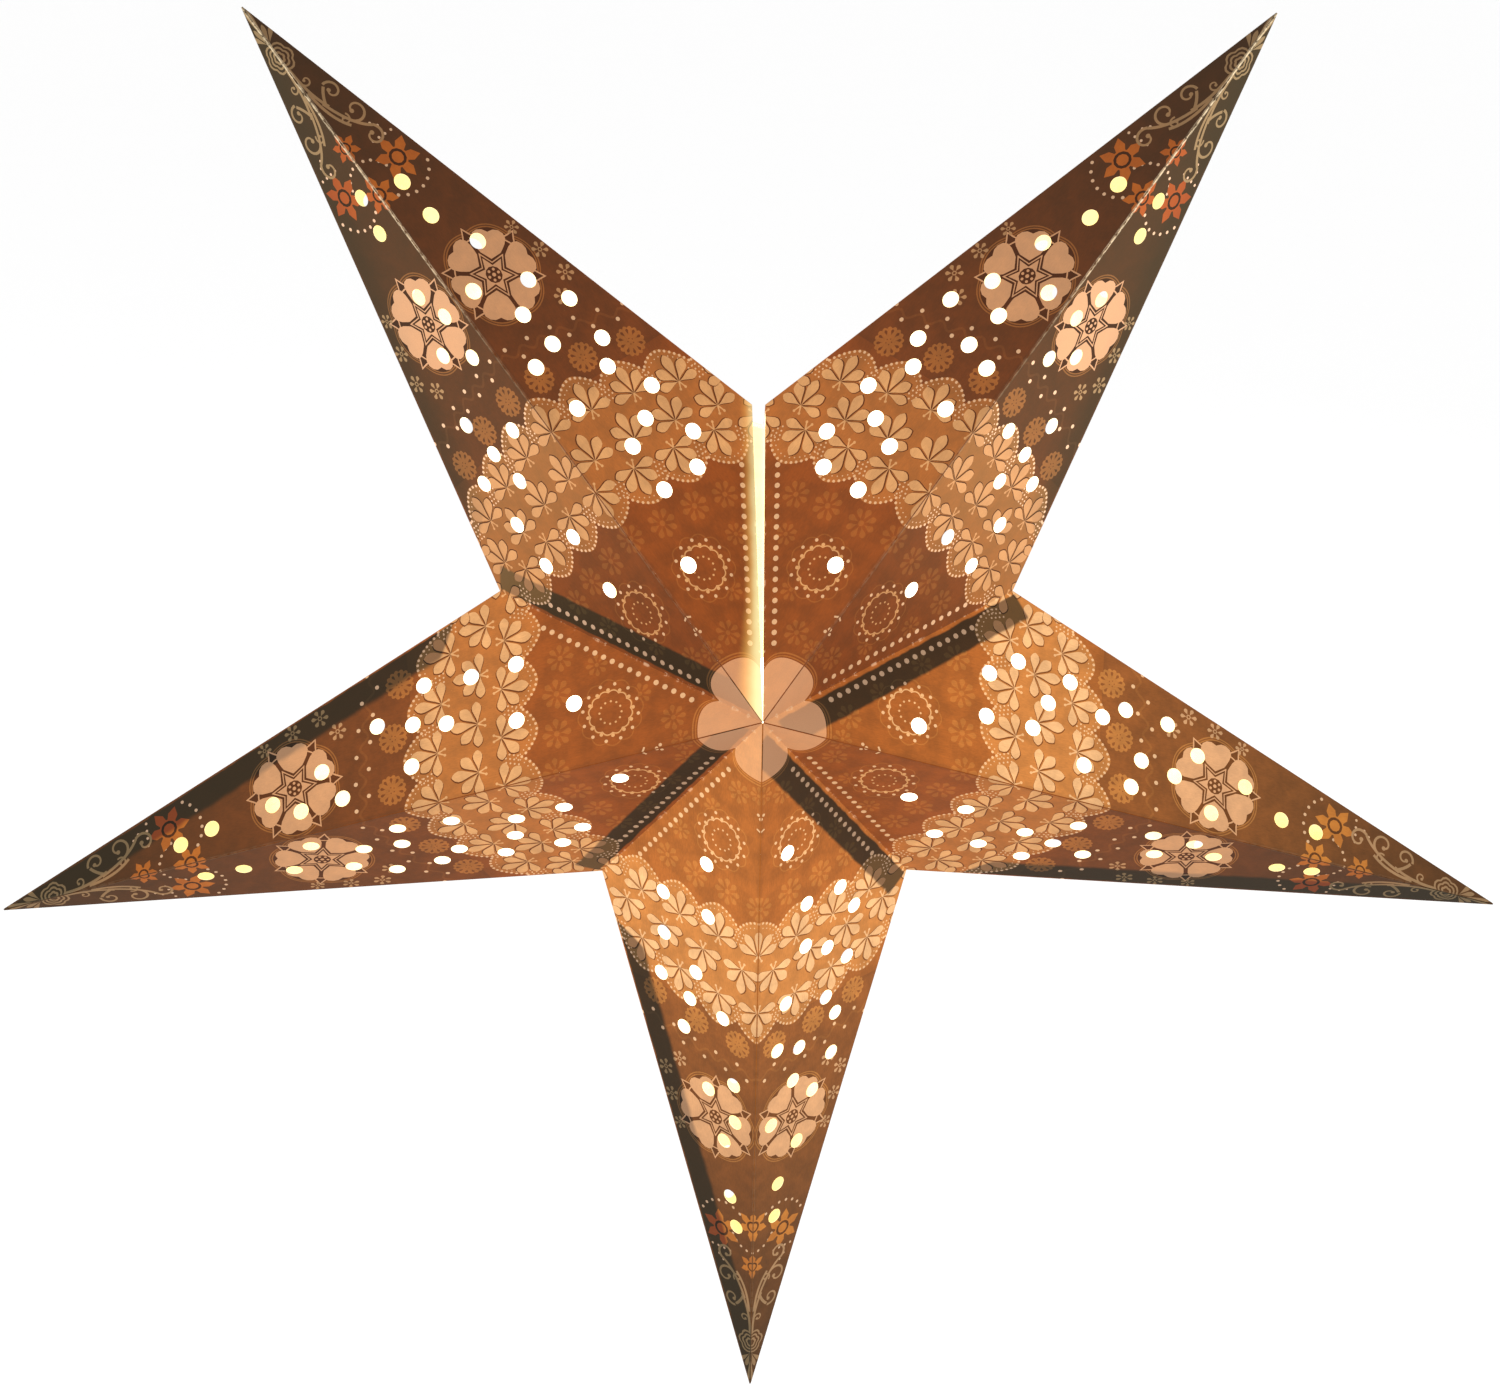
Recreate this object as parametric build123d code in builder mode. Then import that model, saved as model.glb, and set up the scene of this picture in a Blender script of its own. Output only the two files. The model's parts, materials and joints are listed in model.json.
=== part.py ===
"""Folding five-point star lantern: twenty hinged card panels around a small hanging lamp.

Millimetres, +Z up, the star's front faces -Y.  The origin is the mouth of the lampholder's
cord grip, where the lantern hangs.  Panels are numbered by the arm they belong to, going
anticlockwise from the top notch as seen from the front; each arm has a first and a second
panel on its front and on its back, which meet at the arm's ridge.
"""
import os
from math import cos, degrees, pi, radians, sin

from build123d import *

# ---- Star: overall sizes -------------------------------------------------------------
STAR_WIDTH = 600.0          # between the tips of two arms that are not neighbours
NOTCH_RADIUS = 104.0        # from the hub axis to the notch between two arms
STAR_DEPTH = 144.6          # from the front hub to the back hub
SLIT_AT_NOTCH = 5.0         # opening of the untied closing seam at the top notch
ARM_NAMES = ("upper_left", "lower_left", "bottom", "lower_right", "upper_right")

# ---- Card ----------------------------------------------------------------------------
CARD = 0.35                 # thickness of the printed card
OPEN_GAP = 0.15             # clearance of each back panel at its ridge and seam
LIGHT_HOLE_DIA = 6.35       # punched light holes
EDGE_GAP = 0.7              # between a glued strip and the crease beside it
FOLDED_CLEAR = 6.5          # strips keep this far from a ridge, so that it can close

# ---- Glued strips --------------------------------------------------------------------
FLAP_WIDTH = 12.0           # side flap that closes each arm
FLAP_START = 24.0           # from the notch to the flap
TAB_WIDTH = 10.0            # seam tabs that join neighbouring arms
TAB_HUB_GAP = 25.0          # from the hub to a seam tab
TAB_NOTCH_GAP = 8.0         # from a seam tab to the notch
CLOSING_WIDTH = 9.0         # tabs of the untied top seam
CLOSING_TILT = 10.0         # degrees that a closing tab leans into the star
CLOSING_SINK = 0.8          # depth of a closing tab below the seam line

# ---- Lamp: heights are above the star's centre ----------------------------------------
GRIP_MOUTH_HEIGHT = 74.0
GRIP_LENGTH = 8.0
GRIP_RADIUS = 6.0
CORD_BORE_RADIUS = 2.2      # a thin lamp cord, which also passes the slit at the top notch
HOLDER_HOLE_RADIUS = 3.2    # wider hole through the lampholder's own floors
CAP_HEIGHT = 12.0
HOLDER_RADIUS = 13.5
HOLDER_LENGTH = 24.0
HOLDER_WALL = 1.6
SOCKET_RADIUS = 8.0
SOCKET_WALL = 0.5
BASE_RADIUS = 6.9           # small Edison screw, 14 mm class
BASE_LENGTH = 17.0
THREAD_PITCH = 2.8
THREAD_DEPTH = 0.5
FIT_GAP = 0.2               # between nested lamp pieces
GLASS_RADIUS = 14.0
GLASS_LENGTH = 40.0
GLASS_WALL = 0.8
WIRE_RADIUS = 0.5
HOOK_HOLE_RADIUS = 0.8
HOOK_FROM_NOTCH = 19.0      # hole for the hanger wire, along the closing tab
HOOK_ACROSS = 6.4           # and across it, from the crease
HOOK_RISE = 0.75            # the bent end lies this far above the tab
WIRE_FOOT_RADIUS = 8.7      # where the wire stands on the cap's shoulder
WIRE_FOOT_DROP = 0.35       # below the foot of the cord grip
WIRE_BEND_RADIUS = 0.7

# Punched light holes, from the hub along the ridge and away from it.
HOLES_SPARSE = (
    (73, 26), (97, 25), (95, 48), (114, 47.5), (126, 31), (134, 49), (140, 34), (142, 17),
    (155, 37), (172, 11), (180, 24), (190, 10), (202, 15.5), (229, 12), (243, 8.5),
)
HOLES_DENSE = (
    (63, 14), (91, 43), (91, 25), (103, 51), (111, 25), (117, 37), (126, 48), (134, 15),
    (141, 37), (151, 42.5), (155, 11), (159, 23), (170, 41), (174, 20), (184, 31),
    (191, 8.5), (206, 23), (223, 13), (239, 11.5),
)
# The light holes keep their place in the print, which is drawn for this size of panel.
PATTERN_LENGTH = 323.7
PATTERN_HEIGHT = 80.1

# ---- Derived -------------------------------------------------------------------------
ARM_COUNT = len(ARM_NAMES)
TIP_RADIUS = STAR_WIDTH / (2 * sin(radians(72)))
HUB_DEPTH = STAR_DEPTH / 2
SLIT_ANGLE = degrees(SLIT_AT_NOTCH / NOTCH_RADIUS)
PANEL_ANGLE = (360 - SLIT_ANGLE) / (2 * ARM_COUNT)
CENTRE = Vector(0, 0, -GRIP_MOUTH_HEIGHT)
GRIP_BASE_HEIGHT = GRIP_MOUTH_HEIGHT - GRIP_LENGTH
CAP_BASE_HEIGHT = GRIP_BASE_HEIGHT - CAP_HEIGHT
HOLDER_END_HEIGHT = CAP_BASE_HEIGHT - HOLDER_LENGTH


def radial(angle, radius, depth=0.0):
    """A point at an angle anticlockwise from the top, as seen from the front."""
    turn = radians(angle)
    return CENTRE + Vector(-radius * sin(turn), depth, radius * cos(turn))


def line_crossing(start, along, other, other_along):
    """Where two lines of one flat sketch cross."""
    cross = along.X * other_along.Y - along.Y * other_along.X
    gap = other - start
    reach = (gap.X * other_along.Y - gap.Y * other_along.X) / cross
    return start + along * reach


class Facet:
    """The flat frame of one panel: x runs along the ridge, z out of the star."""

    def __init__(self, arm, order, face):
        self.face = face
        seam_step = 2 * arm if order == "first" else 2 * arm + 2
        self.seam_angle = SLIT_ANGLE / 2 + seam_step * PANEL_ANGLE
        self.hub = CENTRE + Vector(0, face * HUB_DEPTH, 0)
        self.tip = radial(SLIT_ANGLE / 2 + (2 * arm + 1) * PANEL_ANGLE, TIP_RADIUS)
        self.notch = radial(self.seam_angle, NOTCH_RADIUS)
        normal = (self.tip - self.hub).cross(self.notch - self.hub).normalized()
        if normal.Y * face < 0:
            normal = -normal
        self.plane = Plane(origin=self.hub, x_dir=self.tip - self.hub, z_dir=normal)
        self.ridge_length = (self.tip - self.hub).length
        corner = self.plane.to_local_coords(self.notch)
        self.side = 1 if corner.Y > 0 else -1
        self.corner = Vector(corner.X, corner.Y)
        self.seam_way = self.corner.normalized()
        self.edge_way = (self.corner - Vector(self.ridge_length, 0)).normalized()
        # Directions into the panel from its seam and from its side crease.
        self.from_seam = Vector(self.seam_way.Y, -self.seam_way.X) * self.side
        self.from_edge = Vector(self.edge_way.Y, -self.edge_way.X) * -self.side
        # The outer faces of two neighbouring arms meet on the seam line.
        neighbour_way = radial(self.seam_angle + 90, 1) - CENTRE
        if order == "second":
            neighbour_way = -neighbour_way
        away = -neighbour_way
        in_panel = self.plane.x_dir * self.from_seam.X + self.plane.y_dir * self.from_seam.Y
        self.seam_inset = CARD * normal.dot(away) / -in_panel.dot(away)

    def outline(self, ridge_gap=0.0, seam_gap=0.0):
        """Hub, tip and notch corners, with the seam side cut back to the seam line."""
        ridge_start = Vector(0, ridge_gap * self.side)
        seam_start = self.from_seam * (self.seam_inset + seam_gap)
        tip = Vector(self.ridge_length, 0)
        along_ridge = Vector(1, 0)
        return (
            line_crossing(ridge_start, along_ridge, seam_start, self.seam_way),
            line_crossing(ridge_start, along_ridge, tip, self.edge_way),
            line_crossing(seam_start, self.seam_way, tip, self.edge_way),
        )

    def flap_outline(self):
        """Strip along the side crease, from near the notch to near the tip."""
        near = self.corner + self.from_edge * EDGE_GAP
        far = self.corner + self.from_edge * FLAP_WIDTH
        ridge_side = Vector(0, FOLDED_CLEAR * self.side)
        along_ridge = Vector(1, 0)
        return (
            near - self.edge_way * FLAP_START,
            line_crossing(near, self.edge_way, ridge_side, along_ridge),
            line_crossing(far, self.edge_way, ridge_side, along_ridge),
            far - self.edge_way * (FLAP_START + FLAP_WIDTH),
        )

    def tab_outline(self):
        """Strip along the seam, with its free corners cut at 45 degrees."""
        near = self.from_seam * (self.seam_inset + EDGE_GAP)
        far = self.from_seam * TAB_WIDTH
        tab_end = self.corner.length - TAB_NOTCH_GAP
        return (
            near + self.seam_way * TAB_HUB_GAP,
            near + self.seam_way * tab_end,
            far + self.seam_way * (tab_end - TAB_WIDTH / 2),
            far + self.seam_way * (TAB_HUB_GAP + TAB_WIDTH / 2),
        )

    def hole_places(self, holes):
        """The light holes, kept in proportion to the panel."""
        stretch = self.ridge_length / PATTERN_LENGTH
        widen = self.side * abs(self.corner.Y) / PATTERN_HEIGHT
        return [(along * stretch, across * widen) for along, across in holes]


def save(part, name):
    """Label one finished piece and write it to its own file."""
    part.label = name
    export_step(part, f"parts/{name}.step")


def make_panel(name, facet, holes, ridge_gap, seam_gap):
    """A flat card panel with its punched holes, grown outwards from its inner face."""
    with BuildPart() as panel:
        with BuildSketch(facet.plane):
            with BuildLine():
                Polyline(*facet.outline(ridge_gap, seam_gap), close=True)
            make_face()
            with Locations(*facet.hole_places(holes)):
                Circle(LIGHT_HOLE_DIA / 2, mode=Mode.SUBTRACT)
        extrude(amount=CARD)
    save(panel.part, name)


def make_strip(name, facet, outline):
    """A glued strip of the same card, lying on a panel's inner face."""
    with BuildPart() as strip:
        with BuildSketch(facet.plane):
            with BuildLine():
                Polyline(*outline, close=True)
            make_face()
        extrude(amount=-CARD)
    save(strip.part, name)


def closing_plane(facet):
    """Plane of a closing tab: x along the seam, y across it, z out of the star."""
    seam = (facet.notch - facet.hub).normalized()
    across = radial(facet.seam_angle - 90, 1) - CENTRE
    inwards = seam.cross(across).normalized()
    if inwards.Y * facet.face > 0:
        inwards = -inwards
    lean = radians(CLOSING_TILT)
    lean_way = across * cos(lean) + inwards * sin(lean)
    outwards = across * sin(lean) - inwards * cos(lean)
    start = facet.hub + inwards * CLOSING_SINK
    tab_plane = Plane(origin=start, x_dir=seam, z_dir=outwards)
    across_sign = 1 if tab_plane.y_dir.dot(lean_way) > 0 else -1
    return tab_plane, across_sign


def make_closing_tab(name, facet, hooked):
    """Loose tab of the top seam; the front one holds the hanger wire."""
    tab_plane, across_sign = closing_plane(facet)
    seam_length = (facet.notch - facet.hub).length
    tab_end = seam_length - TAB_NOTCH_GAP
    far = CLOSING_WIDTH * across_sign
    corners = (
        (TAB_HUB_GAP, 0),
        (tab_end, 0),
        (tab_end - TAB_WIDTH / 4, far),
        (TAB_HUB_GAP + TAB_WIDTH / 2, far),
    )
    with BuildPart() as tab:
        with BuildSketch(tab_plane):
            with BuildLine():
                Polyline(*corners, close=True)
            make_face()
            if hooked:
                with Locations((seam_length - HOOK_FROM_NOTCH, HOOK_ACROSS * across_sign)):
                    Circle(HOOK_HOLE_RADIUS, mode=Mode.SUBTRACT)
        extrude(amount=-CARD)
    save(tab.part, name)


def make_lathe(name, profile):
    """A round lamp piece: its profile is a list of (radius, height above the centre)."""
    points = [(radius, height - GRIP_MOUTH_HEIGHT) for radius, height in profile]
    with BuildPart() as piece:
        with BuildSketch(Plane.XZ):
            with BuildLine():
                Polyline(*points, close=True)
            make_face()
        revolve(axis=Axis.Z)
    save(piece.part, name)


def make_lampholder():
    """Cord grip, domed cap, sleeve and the threaded liner that takes the bulb."""
    make_lathe("cord_grip", (
        (CORD_BORE_RADIUS, GRIP_BASE_HEIGHT),
        (GRIP_RADIUS, GRIP_BASE_HEIGHT),
        (GRIP_RADIUS, GRIP_MOUTH_HEIGHT - 1.5),
        (GRIP_RADIUS - 1.5, GRIP_MOUTH_HEIGHT),
        (CORD_BORE_RADIUS, GRIP_MOUTH_HEIGHT),
    ))
    inner = HOLDER_RADIUS - HOLDER_WALL
    cap_ceiling = GRIP_BASE_HEIGHT - HOLDER_WALL
    make_lathe("lampholder_cap", (
        (HOLDER_HOLE_RADIUS, GRIP_BASE_HEIGHT),
        (GRIP_RADIUS + 1.5, GRIP_BASE_HEIGHT),
        (HOLDER_RADIUS - 2, GRIP_BASE_HEIGHT - 3),
        (HOLDER_RADIUS, GRIP_BASE_HEIGHT - 6.5),
        (HOLDER_RADIUS, CAP_BASE_HEIGHT),
        (inner, CAP_BASE_HEIGHT),
        (inner, cap_ceiling - 5.5),
        (GRIP_RADIUS, cap_ceiling),
        (HOLDER_HOLE_RADIUS, cap_ceiling),
    ))
    floor_height = CAP_BASE_HEIGHT - HOLDER_WALL
    make_lathe("lampholder_sleeve", (
        (HOLDER_HOLE_RADIUS, CAP_BASE_HEIGHT),
        (HOLDER_RADIUS, CAP_BASE_HEIGHT),
        (HOLDER_RADIUS, HOLDER_END_HEIGHT),
        (inner, HOLDER_END_HEIGHT),
        (inner, floor_height),
        (HOLDER_HOLE_RADIUS, floor_height),
    ))
    liner_end = HOLDER_END_HEIGHT + 2
    make_lathe("socket_liner", (
        (HOLDER_HOLE_RADIUS, floor_height),
        (SOCKET_RADIUS + SOCKET_WALL, floor_height),
        (SOCKET_RADIUS + SOCKET_WALL, liner_end),
        (SOCKET_RADIUS, liner_end),
        (SOCKET_RADIUS, floor_height - SOCKET_WALL),
        (HOLDER_HOLE_RADIUS, floor_height - SOCKET_WALL),
    ))


def make_bulb():
    """Screw base with a ridged shell, its end contact, and the frosted glass."""
    base_top = CAP_BASE_HEIGHT - HOLDER_WALL - SOCKET_WALL - FIT_GAP - 1.5
    base_end = base_top - BASE_LENGTH
    make_lathe("bulb_contact", (
        (0, base_top + 1.5),
        (2.2, base_top + 1.5),
        (3.4, base_top),
        (0, base_top),
    ))
    shell = [(0, base_top), (BASE_RADIUS - 2, base_top)]
    turns = int((BASE_LENGTH - 3) / THREAD_PITCH)
    crest = SOCKET_RADIUS - FIT_GAP
    for turn in range(turns):
        start = base_top - 1.2 - turn * THREAD_PITCH
        shell.append((crest - THREAD_DEPTH * 2, start))
        shell.append((crest, start - THREAD_PITCH / 2))
    shell.append((crest - THREAD_DEPTH * 2, base_top - 1.2 - turns * THREAD_PITCH))
    shell.append((BASE_RADIUS, base_end))
    shell.append((0, base_end))
    make_lathe("bulb_base", shell)
    glass_end = base_end - GLASS_LENGTH
    neck = BASE_RADIUS - 0.4
    belly_height = glass_end + GLASS_RADIUS
    with BuildPart() as glass:
        with BuildSketch(Plane.XZ):
            with BuildLine():
                drop = GRIP_MOUTH_HEIGHT
                end = (0, glass_end - drop)
                rise = GLASS_RADIUS * sin(pi / 4)
                low = (rise, belly_height - rise - drop)
                belly = (GLASS_RADIUS, belly_height - drop)
                shoulder = (GLASS_RADIUS, belly_height + 8 - drop)
                mouth = (neck, base_end - drop)
                ThreePointArc(end, low, belly)
                Line(belly, shoulder)
                Spline(shoulder, mouth, tangents=((0, 1), (0, 1)))
                Line(mouth, (neck - GLASS_WALL, base_end - drop))
                inner_belly = (GLASS_RADIUS - GLASS_WALL, belly_height - drop)
                inner_shoulder = (GLASS_RADIUS - GLASS_WALL, belly_height + 8 - drop)
                inner_end = (0, glass_end + GLASS_WALL - drop)
                inner_rise = (GLASS_RADIUS - GLASS_WALL) * sin(pi / 4)
                inner_low = (inner_rise, belly_height - inner_rise - drop)
                Spline(
                    (neck - GLASS_WALL, base_end - drop),
                    inner_shoulder,
                    tangents=((0, -1), (0, -1)),
                )
                Line(inner_shoulder, inner_belly)
                ThreePointArc(inner_belly, inner_low, inner_end)
                Line(inner_end, end)
            make_face()
        revolve(axis=Axis.Z)
    save(glass.part, "bulb_glass")


def make_hanger(facet):
    """Wire from the lampholder cap to its hole in the front closing tab, with a bent end."""
    tab_plane, across_sign = closing_plane(facet)
    hook_along = (facet.notch - facet.hub).length - HOOK_FROM_NOTCH
    hook_across = HOOK_ACROSS * across_sign
    above = tab_plane.from_local_coords(Vector(hook_along, hook_across, HOOK_RISE))
    below = tab_plane.from_local_coords(Vector(hook_along, hook_across, -6 * WIRE_RADIUS))
    bent_end = tab_plane.from_local_coords(Vector(hook_along + 3, hook_across, HOOK_RISE))
    foot = Vector(0, -WIRE_FOOT_RADIUS, -GRIP_LENGTH - WIRE_FOOT_DROP)
    with BuildPart() as wire:
        with BuildLine() as route:
            FilletPolyline(foot, below, above, bent_end, radius=WIRE_BEND_RADIUS)
        with BuildSketch(Plane(origin=foot, z_dir=route.line % 0)):
            Circle(WIRE_RADIUS)
        sweep()
    save(wire.part, "hanger_wire")


def make_star():
    """All the panels with their flaps and tabs, arm by arm."""
    for arm, arm_name in enumerate(ARM_NAMES):
        mirrored = arm == 0
        for face, face_name in ((-1, "front"), (1, "back")):
            for order in ("first", "second"):
                facet = Facet(arm, order, face)
                name = f"{arm_name}_{face_name}_{order}_panel"
                sparse = (order == "first") != (mirrored != (face == 1))
                gap = OPEN_GAP if face == 1 else 0.0
                holes = HOLES_SPARSE if sparse else HOLES_DENSE
                make_panel(name, facet, holes, gap, gap)
                flap_order = "second" if mirrored else "first"
                if face == -1 and order == flap_order:
                    make_strip(f"{arm_name}_side_flap", facet, facet.flap_outline())
                if order == "second" and arm < ARM_COUNT - 1:
                    make_strip(f"{arm_name}_{face_name}_seam_tab", facet, facet.tab_outline())


os.makedirs("parts", exist_ok=True)
make_star()
front_closing = Facet(0, "first", -1)
make_closing_tab("front_closing_tab", front_closing, hooked=True)
make_closing_tab("back_closing_tab", Facet(0, "first", 1), hooked=False)
make_lampholder()
make_bulb()
make_hanger(front_closing)
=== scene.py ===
"""The lit paper star: printed and punched card panels, glued strips, lamp and studio.

Everything is in metres in the CAD frame: +Z up, the star's front faces -Y.  The print is drawn
once in the flat frame of half an arm, in millimetres: x runs along the ridge from the hub to
the tip, y from the ridge to the seam, and every panel gets its own copy, cut by its own holes.
"""

import json
from math import cos, hypot, pi, radians, sin

import bpy
import numpy as np
from mathutils import Matrix, Vector
from mathutils.geometry import delaunay_2d_cdt

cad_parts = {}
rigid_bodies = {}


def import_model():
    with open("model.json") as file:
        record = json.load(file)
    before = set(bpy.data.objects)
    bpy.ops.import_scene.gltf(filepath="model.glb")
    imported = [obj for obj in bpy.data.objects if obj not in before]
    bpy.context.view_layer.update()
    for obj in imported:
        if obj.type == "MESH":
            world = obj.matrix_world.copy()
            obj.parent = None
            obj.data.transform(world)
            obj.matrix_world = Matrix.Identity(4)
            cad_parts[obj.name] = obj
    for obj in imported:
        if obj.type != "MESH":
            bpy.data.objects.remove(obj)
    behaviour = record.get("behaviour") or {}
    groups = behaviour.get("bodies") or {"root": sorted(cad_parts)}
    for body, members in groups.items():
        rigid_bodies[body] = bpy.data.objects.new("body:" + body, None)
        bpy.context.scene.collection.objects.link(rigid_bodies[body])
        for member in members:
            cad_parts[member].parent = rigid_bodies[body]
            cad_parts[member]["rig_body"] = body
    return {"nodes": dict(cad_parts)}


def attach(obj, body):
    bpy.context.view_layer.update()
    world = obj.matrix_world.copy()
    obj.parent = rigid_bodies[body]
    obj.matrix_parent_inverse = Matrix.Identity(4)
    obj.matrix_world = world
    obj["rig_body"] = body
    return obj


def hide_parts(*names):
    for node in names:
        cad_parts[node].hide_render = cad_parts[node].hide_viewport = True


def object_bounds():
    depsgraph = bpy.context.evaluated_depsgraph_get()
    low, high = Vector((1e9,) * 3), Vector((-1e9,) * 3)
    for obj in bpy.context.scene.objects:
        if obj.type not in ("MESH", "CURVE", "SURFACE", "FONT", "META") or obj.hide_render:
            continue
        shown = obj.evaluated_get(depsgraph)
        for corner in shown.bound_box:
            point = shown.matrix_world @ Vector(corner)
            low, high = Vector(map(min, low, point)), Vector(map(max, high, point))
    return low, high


MM = 0.001

# ---- Camera and studio ---------------------------------------------------------------
CAMERA_AZIMUTH = -1.91      # degrees, positive to the star's right
CAMERA_ELEVATION = 16.97
CAMERA_ROLL = 0.47
CAMERA_DISTANCE = 1.184
CAMERA_SHIFT_X = -0.0024
CAMERA_SHIFT_Z = -0.0123
CAMERA_LENS = 72.3216       # mm, for the sensor below
SENSOR_WIDTH = 36.0
FLOOR_DROP = 0.35           # floor below the lowest tip
FLOOR_RADIUS = 40.0
LIGHT_AIM = Vector((0, 0, -0.07))
LIGHT_SIZE = 1.6
STUDIO_LIGHTS = (("key", (-1.4, -1.8, 1.6), 14), ("fill", (1.8, 1.6, 1.2), 8))

# ---- The half arm that the print is drawn for, mm --------------------------------------
ARM_LENGTH = 323.7
NOTCH_ALONG = 98.2
NOTCH_ACROSS = 80.1
CARD = 0.35
BACK_CREASE_GAP = 0.15      # clearance of each back panel at its ridge and seam
SEAM_LENGTH = hypot(NOTCH_ALONG, NOTCH_ACROSS)
SEAM_WAY = Vector((NOTCH_ALONG, NOTCH_ACROSS)) / SEAM_LENGTH
FROM_SEAM = Vector((SEAM_WAY.y, -SEAM_WAY.x))
EDGE_WAY = Vector((ARM_LENGTH - NOTCH_ALONG, -NOTCH_ACROSS)).normalized()
FROM_EDGE = Vector((EDGE_WAY.y, -EDGE_WAY.x))
NOTCH = Vector((NOTCH_ALONG, NOTCH_ACROSS))

HOLE_SIDES = 24
LONGEST_RIM_EDGE = 1.3      # of the CAD mesh around a punched hole
FEWEST_RIM_POINTS = 9
RIM_SLACK = 0.05            # how far past its radius an edge still counts as a hole's
SAME_POINT = 1e-4
LEAST_TRIANGLE = 1e-7       # mm2; thinner slivers are left out

# ---- Glued strips behind the card: painted shadow where they darken the card in front of them, mm ---
TAB_NEAR, TAB_FAR = 1.8, 12.4       # from the seam
FLAP_NEAR, FLAP_FAR = 0.9, 11.4     # from the side edge
FLAP_START = 20.0                   # along the edge from the notch
STRIP_LIGHT = 0.07                  # share of the glow that gets through a strip

# ---- The print on the half arm: mm along the ridge, mm away from it --------------------
HUB_FLOWER = 25.4           # radius of the pale flower at the hub
HUB_FLOWER_RIMS = (("tan", 27.6), ("ground", 27.0), ("tan", 26.4), ("ground", 25.9))
SEAM_DOTS_FROM = Vector((26, 15.6))
SEAM_DOTS_TO = Vector((82, 59.6))
SEAM_DOT_COUNT = 18
RING_ROSETTE = (58.6, 18.6)
FAINT_ROSETTES = (          # place and radius
    (81, 15.5, 6), (79.5, 31.5, 6), (76.5, 45.5, 5.5), (34, 10.5, 5),
    (46, 23, 4.5), (83, 0.5, 5.5), (32, 1, 4), (62, 39, 4.5),
)
# Columns of motifs start here on the ridge; the smaller its bend, the more one leans back.
INNER_COLUMN, MIDDLE_COLUMN, OUTER_COLUMN = 104.4, 114.2, 131.5
INNER_BEND, MIDDLE_BEND, OUTER_BEND = 620, 515, 340
INNER_LOBES, OUTER_LOBES = 96.3, 138.8
COLUMN_PITCH = 19.6         # from one palmette of a column to the next
COLUMN_ROWS = 5
MIDDLE_OFFSET = 0.4         # share of a pitch by which the middle column is staggered
LOBE_DEPTH = 6.8
BAND_MARGIN = 0.7           # of the lighter ground outside its beads
BEAD_ROWS = ((0.0, 0.62), (-2.3, 0.3))      # distance from the edge, and radius of a bead
BEAD_PITCH = 2.1
EDGE_STEP, EDGE_START, EDGE_POINTS = 0.56, -4.2, 154
# Five petals: turn from the palmette's heading, length and width.
PALMETTE_PETALS = ((0, 11.6, 4.5), (43, 9.9, 4.5), (-43, 9.9, 4.5), (88, 9.2, 4.0), (-88, 9.2, 4.0))
PETAL_SHADOW = Vector((0.1, -0.3))
GEAR_COLUMN, GEAR_BEND = 151.0, 380
GEAR_ROWS = (9.3, 30.2, 51.8)
ZIGZAG_COLUMN, ZIGZAG_BEND = 163.4, 390
ZIGZAG_DOTS = ((166.3, 400, 4.3), (160.8, 390, 9.4))    # column, its bend and its first dot
ZIGZAG_PITCH = 10.9
MEDALLION = (192, 20.0)
# Place and radius of each tiny flower.
SPECK_FLOWERS = ((179, 46.2, 3.4), (191.2, 43.0, 3.2), (203.8, 38.6, 2.8), (171.8, 39.0, 3.4))
# Place, radius and turn of each flower near the tip.
ORANGE_FLOWERS = ((238.8, 0, 7.8, 6), (247.5, 16.2, 9.4, -12), (259.8, 0, 6.2, 0))
TIP_ROSE = (300.5, 0)
TIP_ROSE_RINGS = (6.4, 5.5, 4.5, 3.6, 2.6, 1.6)

# ---- Light through the card -------------------------------------------------------------
# Share of the way from the hub to the tip, and share of the light that is left there.
LIGHT_FALL = (
    (0.0, 0.95), (0.27, 1.02), (0.40, 0.90), (0.50, 0.66), (0.70, 0.42), (0.86, 0.22), (1.0, 0.12),
)
# Each arm's two front panels: glow near the hub, glow near the tip, extra room light.
PANEL_LIGHT = {
    ("upper_left", "first"): (0.54, 0.44, 0.0),
    ("upper_left", "second"): (0.42, 0.34, 1.3),
    ("lower_left", "first"): (0.60, 0.70, 0.1),
    ("lower_left", "second"): (0.50, 0.66, 0.3),
    ("bottom", "first"): (0.84, 0.86, 0.1),
    ("bottom", "second"): (0.76, 1.00, 0.2),
    ("lower_right", "first"): (0.54, 0.62, 0.2),
    ("lower_right", "second"): (0.68, 1.04, 0.1),
    ("upper_right", "first"): (0.42, 0.34, 2.0),
    ("upper_right", "second"): (0.56, 0.42, 0.0),
}
BACK_LIGHT = (0.80, 0.80, 0.0)
STRONG_GAMMA, WEAK_GAMMA = 0.82, 1.20       # a strong light looks paler, a weak one redder
CREASE_WIDTH, CREASE_LIGHT = 1.8, 0.84      # the ridge crease lets a little less light through
ROOM_LIGHT_FROM, ROOM_LIGHT_FULL = 24.0, 150.0      # along the ridge
SPILL_AT_HUB, SPILL_BEYOND = 13.0, 6.4      # width of the light spilt round the open seam
WEAR_FROM, WEAR_FULL = 165.0, 225.0         # where the ridge is worn, along it
WEAR_NEAR, WEAR_FAR = 0.2, 0.6              # and away from it
SCUFF_NEAR, SCUFF_FAR = 0.5, 1.1            # worn specks, away from the seam

# ---- Bake map: where each side of a card starts and how much of the height it takes ------
PRINT_START, PRINT_SHARE = 0.22, 0.77
INSIDE_START, INSIDE_SHARE = 0.01, 0.18
MAP_START, MAP_SHARE = 0.005, 0.99


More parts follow.
